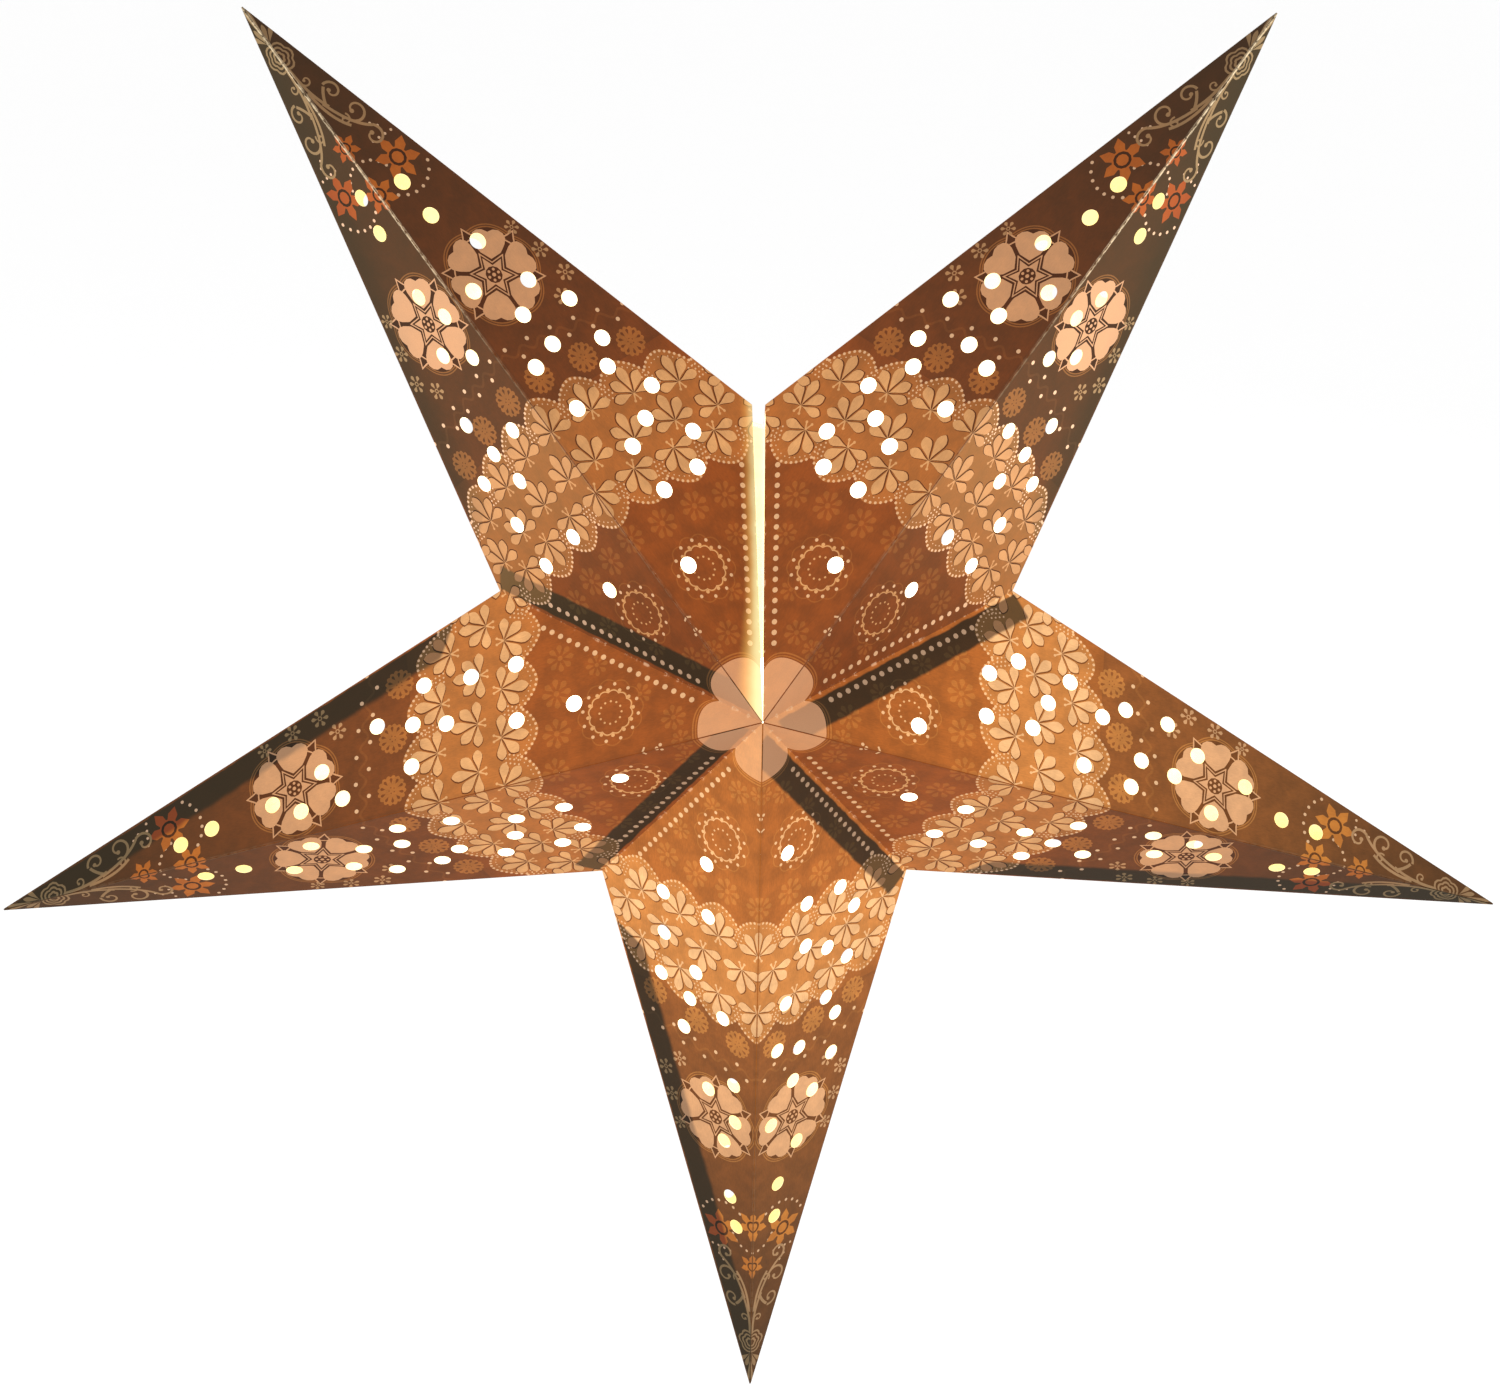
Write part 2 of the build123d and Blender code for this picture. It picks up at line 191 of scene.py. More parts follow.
def srgb(red, green, blue):
    """A colour as it looks on a screen, from 0 to 255, as the linear values shaders use."""
    values = [channel / 255 for channel in (red, green, blue)]
    return tuple(v / 12.92 if v < 0.04045 else ((v + 0.055) / 1.055) ** 2.4 for v in values)


# ---- Inks: the colour in room light, and the colour of the light that comes through -----
INKS = {
    "ground": (srgb(45, 38, 24), (0.55, 0.126, 0.014)),
    "deep": (srgb(43, 36, 23), (0.42, 0.098, 0.013)),
    "faint": (srgb(56, 47, 29), (0.66, 0.175, 0.022)),
    "whisper": (srgb(48, 40, 26), (0.50, 0.125, 0.016)),
    "band": (srgb(84, 64, 38), (0.72, 0.205, 0.032)),
    "line": (srgb(34, 26, 16), (0.30, 0.070, 0.008)),
    "cream": (srgb(122, 88, 60), (1.00, 0.52, 0.200)),
    "hub": (srgb(178, 132, 98), (0.46, 0.160, 0.030)),
    "petal": (srgb(146, 112, 84), (0.90, 0.38, 0.125)),
    "dot": (srgb(168, 138, 112), (0.72, 0.360, 0.110)),
    "tan": (srgb(84, 60, 35), (0.70, 0.205, 0.028)),
    "flower": (srgb(108, 50, 26), (1.25, 0.440, 0.040)),
    "scroll": (srgb(106, 88, 62), (0.95, 0.400, 0.150)),
}
INK_NAMES = list(INKS)
BARE_PAPER = srgb(200, 182, 150)    # where the print is worn off

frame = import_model()
cad_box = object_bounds()


# ---- Drawing helpers: flat shapes in the half arm's frame ------------------------------
def polar(centre, angle, reach):
    """A point at an angle in degrees and a distance from a centre."""
    turn = radians(angle)
    return Vector((centre[0] + reach * cos(turn), centre[1] + reach * sin(turn)))


def circle(centre, radius, count=10):
    """A round outline with a number of even sides."""
    return [polar(centre, 360 * k / count, radius) for k in range(count)]


def waves(centre, radius, depth, lobes, per_lobe=6, start=0.0):
    """A round outline with scalloped lobes."""
    count = lobes * per_lobe
    outline = []
    for k in range(count):
        lobe = abs(sin(pi * k / per_lobe))
        outline.append(polar(centre, start + 360 * k / count, radius - depth + depth * lobe))
    return outline


def star(centre, outer, inner, points, start=0.0):
    """A pointed star; with three points it is a small triangle with hollow sides."""
    outline = []
    for k in range(points):
        outline.append(polar(centre, start + 360 * k / points, outer))
        outline.append(polar(centre, start + 360 * (k + 0.5) / points, inner))
    return outline


def paddle(base, angle, length, width, grow=0.0):
    """A petal: narrow at its base, widest near its round end."""
    along = Vector((cos(radians(angle)), sin(radians(angle))))
    across = Vector((-along.y, along.x))
    sides = []
    for share in (0.0, 0.14, 0.3, 0.46, 0.62, 0.76, 0.88, 0.96):
        half = width / 2 * sin(pi * share ** 2.1) ** 0.8 if share else 0.0
        sides.append((share * length, half + grow))
    start = Vector(base)
    upper = [start + along * run + across * half for run, half in sides]
    lower = [start + along * run - across * half for run, half in reversed(sides)]
    return upper + [start + along * (length + grow)] + lower


def ribbon(points, widths):
    """A line of varying width, as one outline."""
    left, right = [], []
    for k, point in enumerate(points):
        before = points[max(k - 1, 0)]
        after = points[min(k + 1, len(points) - 1)]
        way = (after - before).normalized()
        side = Vector((-way.y, way.x)) * widths[k] / 2
        left.append(point + side)
        right.append(point - side)
    return left + right[::-1]


class Print:
    """Layers of inked shapes; a later shape covers the earlier ones."""

    def __init__(self):
        self.shapes = []

    def add(self, ink, outline):
        """Lay one shape on top, with its corners in anticlockwise order."""
        points = [Vector(p) for p in outline]
        turning = sum(points[k - 1].cross(points[k]) for k in range(len(points)))
        self.shapes.append((INK_NAMES.index(ink), points if turning > 0 else points[::-1]))

    def dots(self, ink, places, radius, count=8):
        for place in places:
            self.add(ink, circle(place, radius, count))


def row_bend(across, bend):
    """How far a column of motifs leans back towards the hub away from the ridge."""
    return -across * across / bend


# ---- Motifs ---------------------------------------------------------------------------
def hub_petal(art):
    """Half of one petal of the pale flower at the hub, rounded off at the seam, with its rim."""
    for ink, radius in HUB_FLOWER_RIMS + (("hub", HUB_FLOWER),):
        arc = []
        for step in range(-3, 22):
            angle = 2 * step
            rounding = 1 - 0.26 * abs(angle / 40) ** 5
            arc.append(polar((0, 0), angle, radius * rounding))
        art.add(ink, [Vector((-2, 0))] + arc)


def seam_dots(art):
    """The line of dots beside the seam."""
    shares = [k / (SEAM_DOT_COUNT - 1) for k in range(SEAM_DOT_COUNT)]
    art.dots("dot", [SEAM_DOTS_FROM.lerp(SEAM_DOTS_TO, share) for share in shares], 1.1, 10)


def ridge_dots(art):
    """Tiny dots and a dash on the ridge, which the arm's other half completes."""
    art.dots("dot", ((40.4, 1.0), (42.0, 0.0)), 0.7)
    dash = [Vector((46.6, -1.6)), Vector((47.6, 0)), Vector((46.8, 1.6))]
    art.add("dot", ribbon(dash, [0.7, 0.9, 0.7]))


def ring_rosette(art, centre):
    """A ring of dots around a fine wavy ring and a small wreath."""
    art.add("faint", waves(centre, 13.6, 1.2, 12, start=15))
    art.add("ground", waves(centre, 13.1, 1.2, 12, start=15))
    art.add("tan", waves(centre, 9.5, 0.9, 12))
    art.add("cream", waves(centre, 9.2, 0.9, 12))
    art.add("ground", waves(centre, 8.75, 0.9, 12))
    for k in range(12):
        art.dots("dot", [polar(centre, 30 * k + 15, 11.4)], 0.72)
        art.dots("cream", [polar(centre, 30 * k, 9.2)], 0.78)
        art.dots("cream", [polar(centre, 30 * k + 8, 4.5)], 0.48, 6)


def faint_rosette(art, centre, radius):
    """A tone on tone rosette that only just shows."""
    for k in range(8):
        foot = polar(centre, 45 * k, radius * 0.22)
        art.add("faint", paddle(foot, 45 * k, radius * 0.8, radius * 0.42))
    art.add("faint", circle(centre, radius * 0.2, 8))


def palmette(art, base, heading):
    """A fan of five petals with two whiskers at its foot."""
    base = Vector(base)
    for turn, length, width in PALMETTE_PETALS:
        art.add("line", paddle(base + PETAL_SHADOW, heading + turn, length, width, 0.3))
    for turn, length, width in PALMETTE_PETALS:
        art.add("cream", paddle(base, heading + turn, length, width))
    for turn in (157, 203):
        end = polar(base, heading + turn, 3.2)
        art.add("cream", ribbon([base, end], [0.7, 0.5]))
        art.add("cream", circle(end, 0.6, 7))


def lobe_edge(across, middle, bend, depth):
    """Place of the lighter band's scalloped edge; its lobes lie around the palmettes."""
    nearest = round(across / COLUMN_PITCH) * COLUMN_PITCH
    share = min(abs(across - nearest) / (COLUMN_PITCH / 2), 1.0)
    return middle + row_bend(across, bend) + depth * (1 - share ** 1.7) ** 0.8


def lobe_line(middle, bend, depth, shift=0.0):
    """The scalloped edge as a line across the half arm and a little past it."""
    rows = [k * EDGE_STEP + EDGE_START for k in range(EDGE_POINTS)]
    return [Vector((lobe_edge(y, middle, bend, depth) + shift, y)) for y in rows]


def beads(outline, spacing):
    """Points at an even spacing along a line."""
    places, left = [outline[0]], spacing
    for a, b in zip(outline, outline[1:]):
        run = (b - a).length
        while run >= left:
            a = a.lerp(b, left / run)
            run -= left
            left = spacing
            places.append(a)
        left -= run
    return places


def cusp_dots(art, middle, bend, side):
    """A small patch of dots in each cusp between two lobes."""
    for lobe in range(COLUMN_ROWS - 1):
        y = (lobe + 0.5) * COLUMN_PITCH
        x = middle + row_bend(y, bend) - side * 1.4
        for column in range(4):
            for row in range(3):
                lean = (row - 1) * 1.8 + (column - 1.5) * 0.6
                art.dots("dot", [(x - side * column * 1.7, y + lean)], 0.42, 6)


def scalloped_band(art):
    """The lighter band across the arm, its beaded edges and its three columns of palmettes."""
    edges = ((INNER_LOBES, INNER_BEND, -1), (OUTER_LOBES, OUTER_BEND, 1))
    inner, outer = [
        lobe_line(middle, bend, side * (LOBE_DEPTH + BAND_MARGIN)) for middle, bend, side in edges
    ]
    art.add("band", inner + outer[::-1])
    for middle, bend, side in edges:
        for gap, radius in BEAD_ROWS:
            line = lobe_line(middle, bend, side * LOBE_DEPTH, side * gap)
            art.dots("dot", beads(line, BEAD_PITCH), radius, 6)
        cusp_dots(art, middle, bend, side)
    for k in range(COLUMN_ROWS):
        y = k * COLUMN_PITCH
        palmette(art, (INNER_COLUMN + row_bend(y, INNER_BEND), y), 184)
        palmette(art, (OUTER_COLUMN + row_bend(y, OUTER_BEND), y), 4)
        middle_y = y + MIDDLE_OFFSET * COLUMN_PITCH
        palmette(art, (MIDDLE_COLUMN + row_bend(middle_y, MIDDLE_BEND), middle_y), 2)


def gear_rosette(art, centre):
    """A tan disc with a bumpy rim and ten dark spokes."""
    art.add("tan", waves(centre, 6.2, 0.8, 16, 4))
    for k in range(10):
        foot = polar(centre, 36 * k + 18, 2.6)
        art.add("deep", paddle(foot, 36 * k + 18, 2.5, 1.2))
    art.dots("deep", [polar(centre, 36 * k, 1.2) for k in range(0, 10, 2)], 0.3, 5)


def zigzag_dots(art):
    """Two staggered columns of dots on either side of a faint wavy line."""
    line = []
    for k in range(90):
        y = k * 0.8 - 1
        wave = 1.5 * sin(2 * pi * y / 9)
        line.append(Vector((ZIGZAG_COLUMN + row_bend(y, ZIGZAG_BEND) + wave, y)))
    art.add("whisper", ribbon(line, [1.0] * len(line)))
    for k in range(7):
        for column, bend, first_y in ZIGZAG_DOTS:
            y = first_y + ZIGZAG_PITCH * k
            art.dots("dot", [(column + row_bend(y, bend), y)], 0.9)


def heart(centre, angle):
    """One full, soft heart petal of the medallion; it narrows towards the medallion's centre."""
    half = (
        (4.6, 0.0), (5.4, 1.3), (7.4, 3.0), (9.8, 4.7), (12.4, 6.2), (14.8, 6.9),
        (16.8, 6.2), (18.0, 4.4), (18.2, 2.3), (17.6, 0.8), (17.2, 0.0),
    )
    points = list(half) + [(run, -side) for run, side in reversed(half[1:-1])]
    turn = radians(angle)
    outline = []
    for run, side in points:
        x = centre[0] + run * cos(turn) - side * sin(turn)
        y = centre[1] + run * sin(turn) + side * cos(turn)
        outline.append(Vector((x, y)))
    return outline


def medallion(art, centre):
    """The large rose: six heart petals around a star, inside a scalloped outline."""
    for ink, radius in (("tan", 20.6), ("deep", 20.1), ("tan", 19.6), ("line", 19.1)):
        art.add(ink, waves(centre, radius, 1.7, 6, 12, start=0))
    for k in range(6):
        spike = polar(centre, 60 * k, 17.2)
        art.add("petal", star(spike, 4.0, 1.9, 3, 60 * k))
        art.add("line", star(spike, 2.9, 1.3, 3, 60 * k))
    for k in range(6):
        art.add("petal", heart(centre, 30 + 60 * k))
    stars = (("line", 11.4, 6.3), ("petal", 9.9, 5.2), ("line", 8.8, 4.7), ("petal", 7.5, 3.8))
    for ink, outer, inner in stars:
        art.add(ink, star(centre, outer, inner, 6))
    art.add("line", circle(centre, 3.4, 12))
    art.dots("petal", [polar(centre, 60 * k + 30, 2.2) for k in range(6)], 0.62, 7)
    art.dots("petal", [centre], 0.8, 8)


def speck_flower(art, centre, radius):
    """A tiny flower of six petals."""
    for k in range(6):
        foot = polar(centre, 60 * k, radius * 0.25)
        art.add("scroll", paddle(foot, 60 * k, radius * 0.85, radius * 0.5))
    art.add("scroll", circle(centre, radius * 0.3, 7))
    art.add("deep", circle(centre, radius * 0.17, 6))


def orange_flower(art, centre, radius, start):
    """A pointed six petal flower with a dark ring in its middle."""
    petals = []
    for k in range(6):
        angle = start + 60 * k
        petals.append([
            polar(centre, angle - 26, radius * 0.42),
            polar(centre, angle - 19, radius * 0.70),
            polar(centre, angle, radius),
            polar(centre, angle + 19, radius * 0.70),
            polar(centre, angle + 26, radius * 0.42),
            polar(centre, angle, radius * 0.16),
        ])
    art.add("flower", circle(centre, radius * 0.46, 12))
    for petal in petals:
        art.add("flower", petal)
    art.add("line", circle(centre, radius * 0.38, 12))
    art.add("flower", circle(centre, radius * 0.26, 10))


def flower_dots(art):
    """Arcs and short rows of dots that join the orange flowers."""
    art.dots("dot", [polar((246, 14), 112 + 17 * k, 13) for k in range(7)], 0.72)
    art.dots("dot", [polar((243, 1.5), -30 + 19 * k, 9.5) for k in range(6)], 0.66)
    art.dots("dot", [(257 + 0.2 * k, 11.5 + 3.1 * k) for k in range(4)], 0.6)
    art.dots("dot", [(263.5, 15.0), (261.4, 17.2)], 0.55)


def bow(start, lean, end, steps=10):
    """A smooth stem from start to end, pulled towards lean."""
    start, lean, end = Vector(start), Vector(lean), Vector(end)
    shares = [k / steps for k in range(steps + 1)]
    return [start.lerp(lean, share).lerp(lean.lerp(end, share), share) for share in shares]


def curl(centre, radius, start, sweep, width, steps=20):
    """A scroll that winds in towards its centre and ends in a small ball."""
    points, widths = [], []
    for k in range(steps + 1):
        points.append(polar(centre, start + sweep * k / steps, radius * (1 - 0.72 * k / steps)))
        widths.append(width * (1 - 0.4 * k / steps))
    return [ribbon(points, widths), circle(points[-1], width * 0.8, 8)]


def tip_scrolls(art):
    """The scrolls, the small rose and the leaves that fill the tip."""
    stems = (
        bow((297, 0.3), (284, 0.3), (276, 5.0)),
        bow((278, 3.4), (266, 8.5), (262.5, 15.5)),
        bow((284, 1.0), (272, 2.0), (266, 8.0)),
        bow((277, 4.2), (281, 5.5), (283.5, 8.0)),
    )
    for stem in stems:
        art.add("scroll", ribbon(stem, [1.2] * len(stem)))
    curls = (
        ((258.8, 13.4), 4.4, 30, 330, 1.2),
        ((270.5, 13.2), 5.0, -115, -330, 1.2),
        ((280.8, 9.9), 3.9, -25, 330, 1.1),
        ((269.2, 7.3), 2.4, 40, 300, 0.8),
        ((288.5, 3.3), 2.2, 240, -300, 0.8),
    )
    for centre, radius, start, sweep, width in curls:
        for outline in curl(centre, radius, start, sweep, width):
            art.add("scroll", outline)
    for k, radius in enumerate(TIP_ROSE_RINGS):
        art.add("deep" if k % 2 else "scroll", waves(TIP_ROSE, radius, radius * 0.16, 6, 4))
    for angle in (14, 40):
        art.add("scroll", paddle((306.5, 0.2), angle, 8, 1.9))
    art.add("scroll", paddle((309, 0), 3, 13, 1.3))


def draw_print():
    """Every motif of the half arm, from the hub to the tip."""
    art = Print()
    art.add("deep", [(140, -5), (330, -5), (330, 90), (140, 90)])
    for x, y, radius in FAINT_ROSETTES:
        faint_rosette(art, (x, y), radius)
    hub_petal(art)
    seam_dots(art)
    ridge_dots(art)
    ring_rosette(art, RING_ROSETTE)
    scalloped_band(art)
    for y in GEAR_ROWS:
        gear_rosette(art, (GEAR_COLUMN + row_bend(y, GEAR_BEND), y))
    zigzag_dots(art)
    medallion(art, MEDALLION)
    for x, y, radius in SPECK_FLOWERS:
        speck_flower(art, (x, y), radius)
    flower_dots(art)
    for x, y, radius, turn in ORANGE_FLOWERS:
        orange_flower(art, (x, y), radius, turn)
    tip_scrolls(art)
    return art


# ---- Panels ---------------------------------------------------------------------------
def meet(first, first_way, second, second_way):
    """Where two lines cross."""
    share = (second - first).cross(second_way) / first_way.cross(second_way)
    return first + first_way * share


def close_creases(hub, tip, notch):
    """Widen a back panel at its ridge and seam, so that no light shows past its pivots."""
    ridge, seam, edge = tip - hub, notch - hub, notch - tip
    at_ridge = hub + Vector((ridge.y, -ridge.x)).normalized() * BACK_CREASE_GAP
    at_seam = hub + Vector((-seam.y, seam.x)).normalized() * BACK_CREASE_GAP
    return [
        meet(at_ridge, ridge, at_seam, seam),
        meet(at_ridge, ridge, tip, edge),
        meet(at_seam, seam, tip, edge),
    ]


class Panel:
    """Flat frame of one CAD panel, read from its own mesh: the outer face, mm."""

    def __init__(self, name):
        self.name = name
        self.node = frame["nodes"][name]
        self.front = "_front_" in name
        points = [v.co / MM for v in self.node.data.vertices]
        outwards = Vector((0, -1 if self.front else 1, 0))
        outer_faces = [f for f in self.node.data.polygons if f.normal.dot(outwards) > 0]
        normal = max(outer_faces, key=lambda f: f.area).normal.normalized()
        level = max(p.dot(normal) for p in points)
        outer = [k for k, p in enumerate(points) if level - p.dot(normal) < CARD / 4]
        self.hub, tip, notch = self.corners([points[k] for k in outer], outwards)
        self.normal = normal
        self.along = (tip - self.hub).normalized()
        across = notch - self.hub
        self.across = (across - self.along * across.dot(self.along)).normalized()
        self.turned = self.along.cross(self.across).dot(normal) < 0
        self.outline = [self.flat(p) for p in (self.hub, tip, notch)]
        if not self.front:
            self.outline = close_creases(*self.outline)
        self.holes = self.find_holes(points, outer)

    @staticmethod
    def corners(points, outwards):
        """Hub, tip and notch: the foremost point, the furthest one, and the one off their line."""
        hub = max(points, key=lambda p: p.dot(outwards))
        tip = max(points, key=lambda p: (p - hub).length)
        way = (tip - hub).normalized()
        notch = max(points, key=lambda p: (p - hub - way * (p - hub).dot(way)).length)
        return hub, tip, notch

    def flat(self, point):
        """Place of a point in the half arm's frame."""
        return Vector(((point - self.hub).dot(self.along), (point - self.hub).dot(self.across)))

    def find_holes(self, points, outer):
        """Centre and radius of each punched hole, from the short rim edges around it."""
        on_face = set(outer)
        links = {k: [] for k in outer}
        for edge in self.node.data.edges:
            a, b = edge.vertices
            if a in on_face and b in on_face and (points[a] - points[b]).length < LONGEST_RIM_EDGE:
                links[a].append(b)
                links[b].append(a)
        holes, seen = [], set()
        for start in outer:
            rim, queue = [], [start]
            while queue:
                k = queue.pop()
                if k not in seen:
                    seen.add(k)
                    rim.append(self.flat(points[k]))
                    queue.extend(links[k])
            if len(rim) >= FEWEST_RIM_POINTS:
                centre = sum(rim, Vector((0, 0))) / len(rim)
                radius = max((p - centre).length for p in rim)
                if all((centre - other).length > radius for other, _ in holes):
                    holes.append((centre, radius))
        return holes


ART = draw_print()
triangulated = {}


def triangulate(panel):
    """Cut the print's shapes and the holes into triangles with one ink each, once per layout."""
    key = tuple(round(value, 1) for p in panel.outline for value in p)
    key += tuple(round(value, 1) for centre, _ in panel.holes for value in centre)
    if key in triangulated:
        return triangulated[key]
    outlines = [panel.outline]
    inks = [INK_NAMES.index("ground")]
    for ink, outline in ART.shapes:
        outlines.append(outline)
        inks.append(ink)
    first_hole = len(outlines)
    for centre, radius in panel.holes:
        outlines.append(circle(centre, radius, HOLE_SIDES))
    points, faces = [], []
    for outline in outlines:
        faces.append(list(range(len(points), len(points) + len(outline))))
        points.extend(outline)
    flat_points, _, triangles, _, _, sources = delaunay_2d_cdt(points, [], faces, 1, SAME_POINT, True)
    kept, ink_of = [], []
    for triangle, shapes in zip(triangles, sources):
        if 0 not in shapes or max(shapes) >= first_hole:
            continue
        a, b, c = (flat_points[k] for k in triangle)
        area = (b - a).cross(c - a) / 2
        if abs(area) < LEAST_TRIANGLE:
            continue
        kept.append(tuple(triangle) if area > 0 else tuple(reversed(triangle)))
        ink_of.append(inks[max(shapes)])
    used = sorted({k for triangle in kept for k in triangle})
    place = {old: new for new, old in enumerate(used)}
    layout = (
        [flat_points[k] for k in used],
        [tuple(place[k] for k in triangle) for triangle in kept],
        np.array(ink_of),
    )
    triangulated[key] = layout
    return layout


def painted_strip_shade_and_wear(panel, arm, order):
    """Which strips lie behind a panel and cast a painted shadow on it: seam tab, side flap and the
    blur of the flap's shadow; and the worn ridge.
    """
    tab = 1.0 if order == "second" and arm != "upper_right" else 0.0
    flap_order = "second" if arm == "upper_left" else "first"
    flap = 1.0 if panel.front and order == flap_order else 0.0
    blur = 0.1
    # On the upper arms the flap's painted shadow is lighter and softer.
    if arm.startswith("upper") and flap:
        flap, blur = 0.6, 0.7
    worn = 1.0 if panel.front and arm.startswith("upper") else 0.1
    return tab, flap, blur, worn


def card_faces(panel, flat_points, triangles):
    """Outer and inner triangles, and the walls along the outline and around the holes."""
    count = len(flat_points)
    outer = [t[::-1] if panel.turned else t for t in triangles]
    inner = [tuple(k + count for k in reversed(t)) for t in outer]
    edges = dict.fromkeys((t[k], t[(k + 1) % 3]) for t in outer for k in range(3))
    sides, rims = [], []
    for a, b in edges:
        if (b, a) not in edges:
            middle = (flat_points[a] + flat_points[b]) / 2
            on_hole = any(
                (middle - centre).length < radius + RIM_SLACK for centre, radius in panel.holes
            )
            (rims if on_hole else sides).append((b, a, a + count, b + count))
    return outer, inner, sides, rims


def paint_card(mesh, panel, ink_of):
    """Give each face corner its ink and glow, the panel's light and the strips behind it."""
    arm = next(name for name, _ in PANEL_LIGHT if panel.name.startswith(name))
    order = "second" if "_second_" in panel.name else "first"
    light = PANEL_LIGHT[(arm, order)] if panel.front else BACK_LIGHT
    slit = 1.0 if panel.front and (arm, order) == ("upper_left", "first") else 0.0
    whole = len(mesh.loops)
    plain = whole - 3 * len(ink_of)
    layers = {}
    for choice, layer_name in enumerate(("ink", "glow")):
        colours = np.array([INKS[name][choice] + (1.0,) for name in INK_NAMES])
        printed = np.repeat(colours[ink_of], 3, axis=0)
        layers[layer_name] = np.vstack([printed, np.tile(colours[0], (plain, 1))])
    layers["light"] = np.tile(light + (slit,), (whole, 1))
    # The strips layer holds the painted shadow of the seam tab and side flap, its blur, and the ridge
    # wear.
    layers["strips"] = np.tile(painted_strip_shade_and_wear(panel, arm, order), (whole, 1))
    for layer_name, colours in layers.items():
        layer = mesh.color_attributes.new(layer_name, "FLOAT_COLOR", "CORNER")
        layer.data.foreach_set("color", colours.astype(np.float32).ravel())


def make_card(panel):
    """The printed, punched panel as one closed mesh with its colours as attributes."""
    flat_points, triangles, ink_of = triangulate(panel)
    outer_points = [panel.hub + panel.along * p.x + panel.across * p.y for p in flat_points]
    vertices = [point * MM for point in outer_points]
    vertices += [(point - panel.normal * CARD) * MM for point in outer_points]
    outer, inner, sides, rims = card_faces(panel, flat_points, triangles)
    mesh = bpy.data.meshes.new(panel.name.replace("_panel", "_card"))
    mesh.from_pydata(vertices, [], outer + inner + sides + rims)
    paint_card(mesh, panel, ink_of)
    places = np.array([(p.x, p.y, z) for z in (0.0, -CARD) for p in flat_points])
    layer = mesh.attributes.new("place", "FLOAT_VECTOR", "POINT")
    layer.data.foreach_set("vector", places.astype(np.float32).ravel())
    slots = np.repeat([0, 1, 0, 1], [len(outer), len(inner), len(sides), len(rims)])
    mesh.materials.append(materials["print"])
    mesh.materials.append(materials["inside"])
    mesh.polygons.foreach_set("material_index", slots.astype(np.int32))
    add_bake_map(mesh, places)
    mesh.validate()
    mesh.update()
    card = bpy.data.objects.new(mesh.name, mesh)
    bpy.context.scene.collection.objects.link(card)
    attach(card, panel.node["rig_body"])
    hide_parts(panel.name)


def add_bake_map(mesh, places):
    """A flat map for baking: the printed side fills most of it, the inside a strip below."""
    corners = np.zeros(len(mesh.loops), np.int32)
    mesh.loops.foreach_get("vertex_index", corners)
    across = places[corners, 1] / NOTCH_ACROSS
    along = places[corners, 0] / ARM_LENGTH
    on_print = places[corners, 2] > -CARD / 2
    printed_height = PRINT_START + PRINT_SHARE * across
    inside_height = INSIDE_START + INSIDE_SHARE * across
    height = np.where(on_print, printed_height, inside_height)
    corner_places = np.stack([MAP_START + MAP_SHARE * along, height], 1)
    layer = mesh.uv_layers.new(name="OFBake")
    layer.uv.foreach_set("vector", corner_places.astype(np.float32).ravel())


